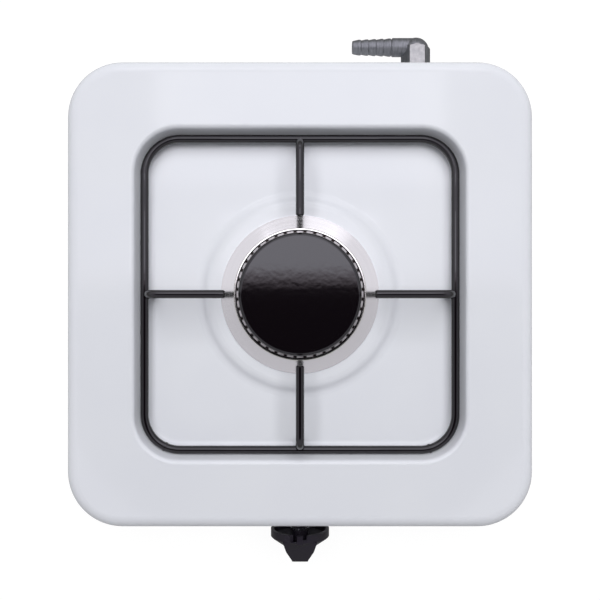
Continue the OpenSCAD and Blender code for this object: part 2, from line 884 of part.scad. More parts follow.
// A round drive with one flat
module drive_outline(r) {
    difference() {
        circle(r);
        translate([-r, r - drive_flat])
            square(2 * r);
    }
}

// The plug closes the branch, and opens it after a quarter turn
module valve_plug() {
    color(brass)
        on_tap_axis()
            difference() {
                rotate_extrude()
                    polygon([[0, plug_back + running_gap], [plug_back_r, plug_back + running_gap],
                        [plug_front_r, plug_front], [0, plug_front]]);
                bar(plug_pocket_r, pocket_floor, plug_front + through);
                translate([0, 0, pocket_floor - drive_depth])
                    linear_extrude(drive_depth + through)
                        drive_outline(drive_r + running_gap);
                bar(port_r, plug_back - through, port_at);
                translate([0, 0, port_at])
                    rotate([90, 0, 0])
                        bar(port_r, 0, plug_front_r);
            }
}

// Middle of the spring's wire at a share of its length
function coil_point(share) = [spring_r * cos(360 * spring_turns * share),
    spring_r * sin(360 * spring_turns * share),
    pocket_floor + spring_wire / 2 + share * (spindle_shoulder - pocket_floor - spring_wire)];

// The spring pushes the spindle back against the bonnet
module return_spring() {
    sides = 6;
    rings = spring_turns * 16;
    points = [for (i = [0 : rings], s = [0 : sides - 1])
        let (p = coil_point(i / rings), turn = 360 * spring_turns * i / rings, a = 360 * s / sides)
            p + spring_wire / 2 * [cos(a) * cos(turn), cos(a) * sin(turn), sin(a)]];
    skin = [for (i = [0 : rings - 1], s = [0 : sides - 1])
        let (n = (s + 1) % sides)
            [i * sides + s, i * sides + n, (i + 1) * sides + n, (i + 1) * sides + s]];
    triangles = [for (f = skin) each [[f[0], f[2], f[1]], [f[0], f[3], f[2]]]];
    first_end = [for (s = [1 : sides - 2]) [0, s, s + 1]];
    last_end = [for (s = [1 : sides - 2]) [rings * sides, rings * sides + s + 1, rings * sides + s]];
    color(spring_steel)
        on_tap_axis()
            polyhedron(points, concat(triangles, first_end, last_end));
}

// The spindle drives the plug with its stub and slides in it when the knob is pushed
module valve_spindle() {
    collar_front = valve_front + bracket_t - stop_collar_gap;
    color(zinc_plate)
        on_tap_axis()
            difference() {
                union() {
                    translate([0, 0, spindle_stub])
                        linear_extrude(spindle_shoulder - spindle_stub)
                            drive_outline(drive_r);
                    bar(spindle_r, spindle_shoulder, spindle_front);
                    bar(stop_collar_r, collar_front - stop_collar_t, collar_front);
                }
                translate([-spindle_r, spindle_r - spindle_flat, flat_back])
                    cube([2 * spindle_r, 2 * spindle_r, spindle_front - flat_back + through]);
            }
}

// The bonnet plate guides the spindle and keeps its collar in
module valve_bonnet() {
    color(zinc_plate)
        on_tap_axis()
            difference() {
                translate([0, 0, valve_front + bracket_t])
                    linear_extrude(bracket_t)
                        ear_outline();
                bar(spindle_r + running_gap, valve_front, bonnet_front + through);
                bonnet_screw_places()
                    bar(small_screw_r + hole_gap, valve_front, bonnet_front + through);
            }
}

module bonnet_screws() {
    color(zinc_plate)
        on_tap_axis()
            bonnet_screw_places()
                difference() {
                    union() {
                        bar(small_head_r, bonnet_front, bonnet_front + 2);
                        bar(small_screw_r, valve_front - 9, bonnet_front);
                    }
                    translate([-small_head_r, -0.4, bonnet_front + 1])
                        cube([2 * small_head_r, 0.8, 2]);
                }
}

// The bracket stands on the front flange and carries the tap
module tap_bracket() {
    bend_in = 1.5;
    bend_d = valve_front - bend_in;
    color(zinc_plate)
        difference() {
            rotate([90, 0, 90])
                translate([0, 0, -tap_bracket_w / 2])
                    linear_extrude(tap_bracket_w) {
                        translate([-bend_d, flange_z])
                            square([bend_d - tap_bracket_back, bracket_t]);
                        translate([-bend_d, flange_z + bracket_t + bend_in])
                            bend(bend_in, 180, 270, bracket_t);
                        translate([-valve_front - bracket_t, flange_z + bracket_t + bend_in])
                            square([bracket_t, tap_bracket_top - flange_z - bracket_t - bend_in]);
                    }
            on_tap_axis() {
                bar(counterbore_r, valve_front - through, valve_front + bracket_t + through);
                bonnet_screw_places()
                    bar(small_screw_r + hole_gap, valve_front - through, bonnet_front);
            }
            for (x = [-1, 1])
                translate([x * tap_screw_x, -tap_screw_at])
                    bar(screw_r + hole_gap, foot_h, flange_z + bracket_t + through);
        }
}

module tap_bracket_screws() {
    color(zinc_plate)
        for (x = [-1, 1])
            translate([x * tap_screw_x, -tap_screw_at])
                upright_screw(foot_h, bracket_screw_len);
}

// The moulded knob: a hollow skirt, a cone and a tapered bar to grip, with a hub inside
module knob() {
    color(black_plastic)
        on_tap_axis()
            difference() {
                union() {
                    difference() {
                        union() {
                            rotate_extrude()
                                polygon([[0, knob_back], [knob_r, knob_back], [knob_r, rim_front - rim_edge],
                                    [knob_r - rim_edge, rim_front], [cone_front_r, cone_front],
                                    [0, cone_front]]);
                            grip(1.6);
                            translate([-pointer_w / 2, knob_r - 1, knob_back])
                                cube([pointer_w, 1.4, rim_t]);
                        }
                        rotate_extrude()
                            polygon([[0, knob_back - through], [knob_r - knob_wall, knob_back - through],
                                [knob_r - knob_wall, rim_front - knob_wall / 2],
                                [cone_front_r - 1, cone_front - knob_wall], [0, cone_front - knob_wall]]);
                    }
                    bar(hub_r, hub_back, cone_front);
                    for (turn = [0, 90])
                        rotate(turn)
                            translate([-0.6, -cone_front_r, rim_front])
                                cube([1.2, 2 * cone_front_r, knob_cone_h - knob_wall + 0.5]);
                }
                translate([0, 0, hub_back - through])
                    linear_extrude(hub_bore_front - hub_back + through)
                        difference() {
                            circle(spindle_r + running_gap);
                            translate([-spindle_r - 1, spindle_r - spindle_flat + running_gap])
                                square(2 * spindle_r + 2);
                        }
                rim_notch(-pointer_w / 2 - 4.2, 4.2, 4.3);
                rim_notch(pointer_w / 2, 2.3, 3);
            }
}

// An open notch in the top of the skirt, beside the pointer
module rim_notch(x, width, length) {
    translate([x, knob_r - knob_wall - 0.6, knob_back - through])
        cube([width, knob_wall + 2, length + through]);
}

// One flank of the grip, from its root behind the rim over its bulge to its rounded tip
function grip_flank(root, tip, ease, side) = [[side * root / 2, rim_front - knob_wall / 2],
    [side * root / 2, rim_front],
    [side * ((root + tip) / 4 + grip_bulge), (rim_front + knob_tip - ease) / 2],
    [side * tip / 2, knob_tip - ease], [side * (tip / 2 - 0.3 * ease), knob_tip - 0.3 * ease],
    [side * (tip / 2 - ease), knob_tip]];

// Outline of the grip, up one flank and down the other
module grip_outline(root, tip, ease) {
    flank = grip_flank(root, tip, ease, 1);
    back = grip_flank(root, tip, ease, -1);
    polygon(concat(flank, [for (i = [len(back) - 1 : -1 : 0]) back[i]]));
}

// The grip tapers in width and in height
module grip(ease) {
    intersection() {
        rotate([90, 0, 0])
            linear_extrude(2 * knob_r, center = true)
                grip_outline(grip_root_w, grip_tip_w, ease);
        rotate([90, 0, 90])
            linear_extrude(2 * knob_r, center = true)
                grip_outline(grip_root_h, grip_tip_h, ease);
    }
}

// The spring clip closes round the back of the hub
module knob_clip() {
    clip_t = 0.8;
    color(spring_steel)
        on_tap_axis()
            difference() {
                bar(hub_r + clip_t + pipe_gap, hub_back + 0.4, hub_back + 1.6);
                bar(hub_r + pipe_gap, hub_back, hub_back + 2);
                rotate(-90)
                    wall_window(50, 2 * hub_r, hub_back, hub_back + 2);
            }
}

// The route of the gas pipe from the inlet along the right side and round to the tap
module pipe_route(r, over) {
    pipe_start = nipple_back - nipple_len + pipe_into_nipple;
    on_inlet_axis()
        bar(r, pipe_run_end, pipe_start + over);
    translate([inlet_x - pipe_bend_r, pipe_run_end, tap_z])
        rotate(270)
            rotate_extrude(angle = 90)
                translate([pipe_bend_r, 0])
                    circle(r);
    on_branch_axis()
        bar(r, tap_nipple_end - pipe_into_nipple - over, inlet_x - pipe_bend_r);
}

module gas_pipe() {
    color(copper_pipe)
        difference() {
            pipe_route(pipe_r, 0);
            pipe_route(pipe_r - pipe_wall, through);
        }
}

// A nut that presses the olive between the pipe and the nipple; the nipple ends at z = 0
module pipe_nut() {
    difference() {
        turned_hexagon(nut_flats, -nut_overlap, nut_len - nut_overlap);
        bar(nipple_r + pipe_gap, -nut_overlap - through, olive_len);
        bar(pipe_r + pipe_gap, 0, nut_len);
    }
}

module olive() {
    rotate_extrude()
        polygon([[pipe_r + pipe_gap, 0], [nipple_r - 0.5, 0], [nipple_r, 0.8], [nipple_r, olive_len - 0.8],
            [nipple_r - 0.5, olive_len], [pipe_r + pipe_gap, olive_len]]);
}

// Puts what is drawn from a nipple's end on the inlet's nipple, which points forwards
module at_inlet_nipple() {
    translate([inlet_x, nipple_back - nipple_len, tap_z])
        rotate([90, 0, 0])
            children();
}

module at_tap_nipple() {
    on_branch_axis()
        translate([0, 0, tap_nipple_end])
            children();
}

module tap_pipe_nut() {
    color(brass)
        at_tap_nipple()
            pipe_nut();
}

module tap_olive() {
    color(brass)
        at_tap_nipple()
            olive();
}

module inlet_pipe_nut() {
    color(brass)
        at_inlet_nipple()
            pipe_nut();
}

module inlet_olive() {
    color(brass)
        at_inlet_nipple()
            olive();
}

// The inlet fitting passes through the back wall
module inlet_fitting() {
    thread_end = elbow_shoulder_y - 2.5;
    color(brass)
        on_inlet_axis()
            difference() {
                union() {
                    bar(nipple_r, nipple_back - nipple_len, nipple_back);
                    turned_hexagon(inlet_flats, nipple_back, body_half - sheet_t);
                    bar(inlet_thread_r, body_half - sheet_t, thread_end);
                }
                bar(inlet_bore_r, nipple_back - nipple_len - through, thread_end + through);
                bar(pipe_r + pipe_gap, nipple_back - nipple_len - through,
                    nipple_back - nipple_len + pipe_into_nipple);
            }
}

module inlet_lock_nut() {
    color(zinc_plate)
        on_inlet_axis()
            difference() {
                turned_hexagon(inlet_flats, body_half, body_half + lock_nut_t);
                bar(inlet_thread_r + inlet_thread_gap, body_half - through, body_half + lock_nut_t + through);
            }
}

module sealing_washer() {
    color(red_fibre)
        on_inlet_axis()
            difference() {
                bar(elbow_flats / 2 - 0.3, body_half + lock_nut_t, elbow_foot_y);
                bar(inlet_thread_r + inlet_thread_gap, body_half, elbow_foot_y + through);
            }
}

// Outline of the collar and the barbed tail, from the elbow's corner to the tip
module tail_outline() {
    collar_end = tail_reach - tail_neck - barb_count * barb_pitch - tail_tip_len;
    first_barb = collar_end + tail_neck;
    barbs_end = tail_reach - tail_tip_len;
    last_r = barb_r - barb_groove - barb_count * barb_step;
    polygon([[0, 0], [elbow_collar_r, 0], [elbow_collar_r, collar_end], [barb_r - barb_groove, collar_end],
        for (i = [0 : barb_count - 1])
            let (crest = barb_r - i * barb_step, start = first_barb + i * barb_pitch)
                each [[crest - barb_groove, start], [crest, start + barb_rise],
                    [crest, start + barb_rise + barb_land]],
        [last_r, barbs_end], [last_r - 0.4, tail_reach], [0, tail_reach]]);
}

// The elbow turns the gas line along the back wall and ends in the tail for the hose
module hose_elbow() {
    color(zinc_casting)
        difference() {
            union() {
                on_inlet_axis() {
                    turned_hexagon(elbow_flats, elbow_foot_y, elbow_shoulder_y + 2 * elbow_dome_rise);
                    intersection() {
                        translate([0, 0, elbow_shoulder_y + elbow_dome_h - elbow_dome_r])
                            sphere(elbow_dome_r);
                        bar(elbow_flats, elbow_shoulder_y, tail_y + elbow_flats);
                    }
                }
                translate([inlet_x, tail_y, tap_z])
                    rotate([0, -90, 0])
                        rotate_extrude()
                            tail_outline();
            }
            on_inlet_axis() {
                bar(inlet_thread_r + inlet_thread_gap, elbow_foot_y - through, elbow_shoulder_y - 2);
                bar(elbow_bore_r, elbow_foot_y, tail_y + elbow_bore_r);
            }
            translate([inlet_x, tail_y, tap_z])
                rotate([0, -90, 0])
                    bar(tail_bore_r, 0, tail_reach + through);
        }
}

// The strap crosses the shell from flange to flange and carries the cup
module burner_strap() {
    high = cup_bottom_z - bracket_t;
    end_x = body_half - flange_bend_r - 2 * hole_gap;
    rise_x = strap_foot_in - 1;
    flat_x = rise_x - strap_rise_w;
    half = [[flat_x, high], [rise_x - 1, flange_z], [end_x, flange_z], [end_x, flange_z + bracket_t],
        [rise_x, flange_z + bracket_t], [flat_x + 1, high + bracket_t]];
    color(zinc_plate)
        difference() {
            rotate([90, 0, 0])
                linear_extrude(strap_w, center = true)
                    polygon([each half, for (i = [len(half) - 1 : -1 : 0]) [-half[i][0], half[i][1]]]);
            for (x = [-1, 1], y = [-1, 1])
                translate([x * strap_screw_x, y * strap_screw_y])
                    bar(screw_r + hole_gap, foot_h, flange_z + bracket_t + through);
            for (x = [-1, 1])
                translate([x * cup_screw_at, 0])
                    bar(screw_r + hole_gap, high - through, high + bracket_t + through);
        }
}

module strap_screws() {
    color(zinc_plate)
        for (x = [-1, 1], y = [-1, 1])
            translate([x * strap_screw_x, y * strap_screw_y])
                upright_screw(foot_h, bracket_screw_len);
}

top_shell();
foot_front_left();
foot_front_right();
foot_back_left();
foot_back_right();
pan_support_ring();
finger_front();
finger_back();
finger_left();
finger_right();
spill_ring();
burner_crown();
burner_cap();
burner_cup();
cup_screws();
mixing_tube();
air_shutter();
injector();
valve_body();
valve_plug();
return_spring();
valve_spindle();
valve_bonnet();
bonnet_screws();
knob();
knob_clip();
tap_bracket();
tap_bracket_screws();
gas_pipe();
tap_pipe_nut();
tap_olive();
inlet_pipe_nut();
inlet_olive();
inlet_fitting();
inlet_lock_nut();
sealing_washer();
hose_elbow();
burner_strap();
strap_screws();
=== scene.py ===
# %% [markdown]
# # Countertop gas hotplate
# The object is a square enamelled hotplate with one burner, a loose wire pan support, a moulded knob in front
# and an elbow for the gas hose behind. Its exact solids come ready made, in metres, and stay as they are.
# This lesson dresses them. It gives each surface its finish, adds the small forms that only the eye needs,
# and sets up a plain studio with the camera straight above the plate.

# %% The frame and its size
import json
import math

import bpy
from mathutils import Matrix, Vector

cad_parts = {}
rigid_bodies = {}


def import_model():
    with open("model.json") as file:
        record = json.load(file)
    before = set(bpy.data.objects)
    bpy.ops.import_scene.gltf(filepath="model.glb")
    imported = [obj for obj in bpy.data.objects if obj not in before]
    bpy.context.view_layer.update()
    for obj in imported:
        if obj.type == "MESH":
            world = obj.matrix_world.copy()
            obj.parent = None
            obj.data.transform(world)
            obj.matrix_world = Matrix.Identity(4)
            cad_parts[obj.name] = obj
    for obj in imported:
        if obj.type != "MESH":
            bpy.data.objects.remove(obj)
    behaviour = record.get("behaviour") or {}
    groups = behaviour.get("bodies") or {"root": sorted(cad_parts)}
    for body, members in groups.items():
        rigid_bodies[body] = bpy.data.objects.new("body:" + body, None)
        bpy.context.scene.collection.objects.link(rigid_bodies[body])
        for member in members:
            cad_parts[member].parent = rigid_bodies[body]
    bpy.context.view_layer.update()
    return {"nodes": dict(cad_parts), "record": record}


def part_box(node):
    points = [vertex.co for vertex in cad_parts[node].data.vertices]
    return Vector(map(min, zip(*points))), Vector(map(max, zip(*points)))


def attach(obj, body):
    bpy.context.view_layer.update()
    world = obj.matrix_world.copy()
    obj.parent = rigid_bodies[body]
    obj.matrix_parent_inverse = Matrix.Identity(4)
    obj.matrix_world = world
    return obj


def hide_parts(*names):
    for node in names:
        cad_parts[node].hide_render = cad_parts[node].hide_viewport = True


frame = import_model()
NODES = frame["nodes"]
MM = 0.001

# %% [markdown]
# ## Two helpers
# A colour is written as an sRGB hex value, as a colour picker shows it, but the shader wants linear light.
# One function converts it. Another adds a shader node with its values, links and settings, so that a
# material reads as a short list of nodes.

# %% Colour and node helpers
def linear(hex_colour):
    """An sRGB hex value such as #8090a0 as linear red, green, blue and alpha."""
    values = [int(hex_colour[i:i + 2], 16) / 255 for i in (1, 3, 5)]
    return [v / 12.92 if v <= 0.04045 else ((v + 0.055) / 1.055) ** 2.4 for v in values] + [1.0]


def add_node(tree, kind, values=None, links=None, **settings):
    """Adds a node. values fill its inputs, links give its inputs' sources, settings are its own choices."""
    made = tree.nodes.new(kind)
    for key, value in settings.items():
        setattr(made, key, value)
    for key, value in (values or {}).items():
        made.inputs[key].default_value = value
    for key, source in (links or {}).items():
        tree.links.new(source, made.inputs[key])
    return made


print("mid grey in linear light:", round(linear("#808080")[0], 3))

# %% [markdown]
# ## What every finish starts from
# Every finish is one Principled shader. Its plain settings go straight into the shader's sockets, and its
# patterns read Object coordinates, which are metres from the origin here, so a pattern keeps its real size.
# Real surfaces are never quite even: a soft noise changes the colour, the gloss or the height a little. Most
# of a noise lies between 0.3 and 0.7, so that range is spread out where the full contrast is wanted.

# %% A finish, and what its patterns share
FINISHES = {}
NOISE_RANGE = {"From Min": 0.3, "From Max": 0.7}
# The places of the two colours among a Mix node's inputs, and of the mixed one among its outputs
FIRST = 6
SECOND = 7
MIXED = 2


def new_finish(name, colour="#ffffff", **constants):
    """A material with one Principled shader, and the place in it that patterns read."""
    made = bpy.data.materials.new(name)
    made.use_nodes = True
    shader = made.node_tree.nodes["Principled BSDF"]
    shader.inputs["Base Color"].default_value = linear(colour)
    for key, value in constants.items():
        shader.inputs[key].default_value = value
    place = add_node(made.node_tree, "ShaderNodeTexCoord").outputs["Object"]
    return made, made.node_tree, shader, place


print("noise is spread out from:", NOISE_RANGE)

# %% [markdown]
# ## White vitreous enamel
# The shell is drawn from steel sheet, dipped in glass frit and fired. The glass flows as it melts, so the
# surface is glossy and smooth but for a wide, faint orange peel, and its white leans to blue. An image of
# real enamel could be wrapped round it, but a noise some millimetres across gives the same without a seam.

# %% White enamel
ENAMEL_CLOUD = 60
ENAMEL_PEEL = 7
made, tree, shader, place = new_finish("white_vitreous_enamel", Roughness=0.09, IOR=1.5)
cloud = add_node(tree, "ShaderNodeTexNoise", {"Scale": 1 / (ENAMEL_CLOUD * MM)}, {"Vector": place})
amount = add_node(tree, "ShaderNodeMapRange", NOISE_RANGE, {"Value": cloud.outputs["Fac"]})
white = add_node(tree, "ShaderNodeMix", {FIRST: linear("#e9ebf2"), SECOND: linear("#e6e8f0")},
                 {"Factor": amount.outputs["Result"]}, data_type="RGBA")
tree.links.new(white.outputs[MIXED], shader.inputs["Base Color"])
peel = add_node(tree, "ShaderNodeTexNoise", {"Scale": 1 / (ENAMEL_PEEL * MM)}, {"Vector": place})
bump = add_node(tree, "ShaderNodeBump", {"Strength": 0.25, "Distance": 0.03 * MM},
                {"Height": peel.outputs["Fac"]})
tree.links.new(bump.outputs["Normal"], shader.inputs["Normal"])
FINISHES["white_enamel"] = made
print("white enamel, peel in mm:", ENAMEL_PEEL)

# %% [markdown]
# ## Black vitreous enamel
# The cap and the wire of the pan support carry the same kind of glass in black, with a touch of violet. A
# dark ground coat is dense, so it mirrors a little more than white. Its peel is finer and deeper, which
# draws the edge of the softbox on the cap as a wavy line.

# %% Black enamel
CAP_PEEL = 4
made, tree, shader, place = new_finish("black_vitreous_enamel", "#0a0509", Roughness=0.06, IOR=1.6)
peel = add_node(tree, "ShaderNodeTexNoise", {"Scale": 1 / (CAP_PEEL * MM), "Detail": 1.5}, {"Vector": place})
bump = add_node(tree, "ShaderNodeBump", {"Strength": 0.4, "Distance": 0.05 * MM},
                {"Height": peel.outputs["Fac"]})
tree.links.new(bump.outputs["Normal"], shader.inputs["Normal"])
FINISHES["black_enamel"] = made
print("black enamel, peel in mm:", CAP_PEEL)

# %% [markdown]
# ## Turned aluminium
# The spill ring is spun from sheet and skimmed on a lathe, whose tool leaves fine rings of uneven depth.
# Drawn grooves could be modelled, but they are finer than a pixel here. A noise that reads only the
# distance from the burner's axis is drawn out all the way round, and so it does what the tool does.

# %% Turned aluminium
RING_PITCH = 0.7
made, tree, shader, place = new_finish("turned_aluminium", Metallic=1.0)
flat = add_node(tree, "ShaderNodeVectorMath", {1: (1, 1, 0)}, {0: place}, operation="MULTIPLY")
from_axis = add_node(tree, "ShaderNodeVectorMath", links={0: flat.outputs[0]}, operation="LENGTH")
rings = add_node(tree, "ShaderNodeTexNoise", {"Scale": 1 / (RING_PITCH * MM), "Detail": 3.0},
                 {"W": from_axis.outputs["Value"]}, noise_dimensions="1D").outputs["Fac"]
skimmed = add_node(tree, "ShaderNodeMix", {FIRST: linear("#dfddd9"), SECOND: linear("#ecebe6")},
                   {"Factor": rings}, data_type="RGBA")
tree.links.new(skimmed.outputs[MIXED], shader.inputs["Base Color"])
gloss = add_node(tree, "ShaderNodeMapRange", {**NOISE_RANGE, "To Min": 0.1, "To Max": 0.17}, {"Value": rings})
tree.links.new(gloss.outputs["Result"], shader.inputs["Roughness"])
bump = add_node(tree, "ShaderNodeBump", {"Strength": 0.12, "Distance": 0.02 * MM}, {"Height": rings})
tree.links.new(bump.outputs["Normal"], shader.inputs["Normal"])
FINISHES["turned_aluminium"] = made
print("turned aluminium, rings in mm:", RING_PITCH)

# %% [markdown]
# ## Burnt die-cast aluminium, with painted shade in the slots
# The crown and the cup are cast in a steel die, so their skin is grainy and dull. Gas burns in the crown's
# slots and stains them and their edges brown, while the cap rubs the teeth bright at the top. The crown's
# dark colour is partly that stain and partly painted shade, where the slots are deep and the cap hangs over
# them. The stain and the shade could be painted on an image. Here they are worked out: one value rises with
# height over the last millimetre, another swings round the axis once for each slot, and the metal is clean
# and unshaded where both are high.

# %% Where the crown is rubbed clean, and where shade is painted
CROWN_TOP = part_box("burner_crown")[1][2]
CROWN_SLOTS = 40
BURNT_AND_SHADED_CASTING, tree, shader, place = new_finish("burnt_and_shaded_cast_aluminium", Metallic=1.0)
axes = add_node(tree, "ShaderNodeSeparateXYZ", links={0: place})
rubbed = add_node(tree, "ShaderNodeMapRange",
                  {"From Min": CROWN_TOP - 1.0 * MM, "From Max": CROWN_TOP - 0.2 * MM},
                  {"Value": axes.outputs["Z"]})
angle = add_node(tree, "ShaderNodeMath", links={0: axes.outputs["Y"], 1: axes.outputs["X"]},
                 operation="ARCTAN2")
slots = add_node(tree, "ShaderNodeMath", {1: CROWN_SLOTS}, {0: angle.outputs[0]}, operation="MULTIPLY")
wave = add_node(tree, "ShaderNodeMath", links={0: slots.outputs[0]}, operation="COSINE")
between = add_node(tree, "ShaderNodeMapRange", {"From Min": -0.8, "From Max": 0}, {"Value": wave.outputs[0]})
# Where this product is low, the crown is coloured dark: burnt stain, and painted shade in the slots and under
# the cap.
clean = add_node(tree, "ShaderNodeMath", links={0: rubbed.outputs["Result"], 1: between.outputs["Result"]},
                 operation="MULTIPLY")
print("crown's top in mm:", round(CROWN_TOP / MM, 1), "slots:", CROWN_SLOTS)

# %% The stain and the painted shade, and the grain of the casting
CASTING_GRAIN = 0.8
# The dark colour is burnt stain and painted shade together, and the light one is the clean metal.
stain_and_shade = add_node(tree, "ShaderNodeMix", {FIRST: linear("#2c2423"), SECOND: linear("#c4c1be")},
                   {"Factor": clean.outputs[0]}, data_type="RGBA")
tree.links.new(stain_and_shade.outputs[MIXED], shader.inputs["Base Color"])
grain = add_node(tree, "ShaderNodeTexNoise", {"Scale": 1 / (CASTING_GRAIN * MM), "Detail": 4.0},
                 {"Vector": place}).outputs["Fac"]
gloss = add_node(tree, "ShaderNodeMapRange", {**NOISE_RANGE, "To Min": 0.36, "To Max": 0.5}, {"Value": grain})
tree.links.new(gloss.outputs["Result"], shader.inputs["Roughness"])
bump = add_node(tree, "ShaderNodeBump", {"Strength": 0.4, "Distance": 0.06 * MM}, {"Height": grain})
tree.links.new(bump.outputs["Normal"], shader.inputs["Normal"])
print("burnt casting, grain in mm:", CASTING_GRAIN)

# %% [markdown]
# ## Plain metals
# The rest of the metal is cast, turned, drawn or plated, and stays clean inside the shell. These finishes
# have the same few traits: a colour with a second shade in it, a grain of some size, a gloss and a depth.
# One small function makes them, with the numbers chosen for each metal.

# %% Plain metals
def plain_metal(name, colour, shade, roughness, grain_mm, depth_mm):
    """A metal whose colour, gloss and height all follow one grain."""
    made, tree, shader, place = new_finish(name, Metallic=1.0)
    grain = add_node(tree, "ShaderNodeTexNoise", {"Scale": 1 / (grain_mm * MM), "Detail": 4.0},
                     {"Vector": place}).outputs["Fac"]
    amount = add_node(tree, "ShaderNodeMapRange", NOISE_RANGE, {"Value": grain})
    metal = add_node(tree, "ShaderNodeMix", {FIRST: linear(colour), SECOND: linear(shade)},
                     {"Factor": amount.outputs["Result"]}, data_type="RGBA")
    tree.links.new(metal.outputs[MIXED], shader.inputs["Base Color"])
    gloss = add_node(tree, "ShaderNodeMapRange",
                     {**NOISE_RANGE, "To Min": roughness - 0.06, "To Max": roughness + 0.06},
                     {"Value": grain})
    tree.links.new(gloss.outputs["Result"], shader.inputs["Roughness"])
    bump = add_node(tree, "ShaderNodeBump", {"Strength": 0.4, "Distance": depth_mm * MM}, {"Height": grain})
    tree.links.new(bump.outputs["Normal"], shader.inputs["Normal"])
    return made


FINISHES["cast_aluminium"] = plain_metal("die_cast_aluminium", "#b9babd", "#a6a7aa", 0.42, 0.8, 0.06)
FINISHES["brass"] = plain_metal("turned_brass", "#cfae62", "#c09c50", 0.25, 1.5, 0.02)
FINISHES["zinc_plated_steel"] = plain_metal("zinc_plated_steel", "#c3c6c9", "#b4b8bc", 0.3, 4.0, 0.02)
FINISHES["spring_steel"] = plain_metal("oiled_spring_steel", "#94979b", "#83868a", 0.28, 2.0, 0.02)
FINISHES["copper_pipe"] = plain_metal("drawn_copper", "#c98a66", "#b87552", 0.3, 3.0, 0.02)
print("plain metals:", [m.name for m in FINISHES.values()][-5:])

# %% [markdown]
# ## Die-cast zinc with a lighter top flat
# The elbow is a zinc casting, tumbled to a dull grey, with fine scratches round the tail where it was
# trimmed. The top flat of its hexagon is coloured lighter than the rest. It is the highest place on the
# elbow, so height picks it out, and coarse spots darken it again where it is pitted.

# %% Scratches, and the lighter top flat
ELBOW_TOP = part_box("hose_elbow")[1][2]
SCRATCH_LENGTH = 5.0
PIT_SIZE = 2.5
made, tree, shader, place = new_finish("die_cast_zinc", Metallic=1.0)
squeezed = add_node(tree, "ShaderNodeMapping", {"Scale": (6, 1, 1)}, {0: place})
scratches = add_node(tree, "ShaderNodeTexNoise", {"Scale": 1 / (SCRATCH_LENGTH * MM), "Detail": 3.0},
                     {"Vector": squeezed.outputs[0]})
amount = add_node(tree, "ShaderNodeMapRange", NOISE_RANGE, {"Value": scratches.outputs["Fac"]})
casting = add_node(tree, "ShaderNodeMix", {FIRST: linear("#797b7d"), SECOND: linear("#909193")},
                   {"Factor": amount.outputs["Result"]}, data_type="RGBA")
height = add_node(tree, "ShaderNodeSeparateXYZ", links={0: place}).outputs["Z"]
# The top flat is coloured lighter than the rest of the elbow, picked out by height.
top_flat = add_node(tree, "ShaderNodeMapRange",
                  {"From Min": ELBOW_TOP - 0.5 * MM, "From Max": ELBOW_TOP - 0.2 * MM}, {"Value": height})
pits = add_node(tree, "ShaderNodeTexNoise", {"Scale": 1 / (PIT_SIZE * MM), "Detail": 3.0}, {"Vector": place})
sound = add_node(tree, "ShaderNodeMapRange", {**NOISE_RANGE, "To Min": 1, "To Max": 0.6},
                 {"Value": pits.outputs["Fac"]})
lighter_top = add_node(tree, "ShaderNodeMath", links={0: top_flat.outputs["Result"], 1: sound.outputs["Result"]},
                   operation="MULTIPLY")
print("elbow's top in mm:", round(ELBOW_TOP / MM, 1))

# %% The colour and the grain of the elbow
ELBOW_GRAIN = 0.9
zinc = add_node(tree, "ShaderNodeMix", {SECOND: linear("#c2c1be")},
                {"Factor": lighter_top.outputs[0], FIRST: casting.outputs[MIXED]}, data_type="RGBA")
tree.links.new(zinc.outputs[MIXED], shader.inputs["Base Color"])
grain = add_node(tree, "ShaderNodeTexNoise", {"Scale": 1 / (ELBOW_GRAIN * MM), "Detail": 4.0},
                 {"Vector": place}).outputs["Fac"]
gloss = add_node(tree, "ShaderNodeMapRange", {**NOISE_RANGE, "To Min": 0.4, "To Max": 0.55}, {"Value": grain})
tree.links.new(gloss.outputs["Result"], shader.inputs["Roughness"])
bump = add_node(tree, "ShaderNodeBump", {"Strength": 0.4, "Distance": 0.08 * MM}, {"Height": grain})
tree.links.new(bump.outputs["Normal"], shader.inputs["Normal"])
FINISHES["zinc_casting"] = made
print("zinc casting, grain in mm:", ELBOW_GRAIN)

# %% [markdown]
# ## Plastic, rubber and fibre
# The knob is moulded in black plastic with a faint spark-eroded grain, which softens what it mirrors. The
# feet are moulded rubber, duller still. A disc of red vulcanised fibre seals the hose elbow, and its
# pressed paper shows as fine specks.

# %% Plastic and rubber
def moulding(name, colour, roughness, ior, grain_mm, depth_mm, relief):
    """A plastic or rubber of one colour, with the fine grain of its mould."""
    made, tree, shader, place = new_finish(name, colour, Roughness=roughness, IOR=ior)
    grain = add_node(tree, "ShaderNodeTexNoise", {"Scale": 1 / (grain_mm * MM)}, {"Vector": place})
    bump = add_node(tree, "ShaderNodeBump", {"Strength": relief, "Distance": depth_mm * MM},
                    {"Height": grain.outputs["Fac"]})
    tree.links.new(bump.outputs["Normal"], shader.inputs["Normal"])
    return made


FINISHES["black_plastic"] = moulding("moulded_black_plastic", "#120c17", 0.45, 1.42, 0.5, 0.02, 0.3)
FINISHES["black_rubber"] = moulding("moulded_rubber", "#242425", 0.75, 1.5, 1.2, 0.05, 0.4)
print("mouldings:", [m.name for m in FINISHES.values()][-2:])

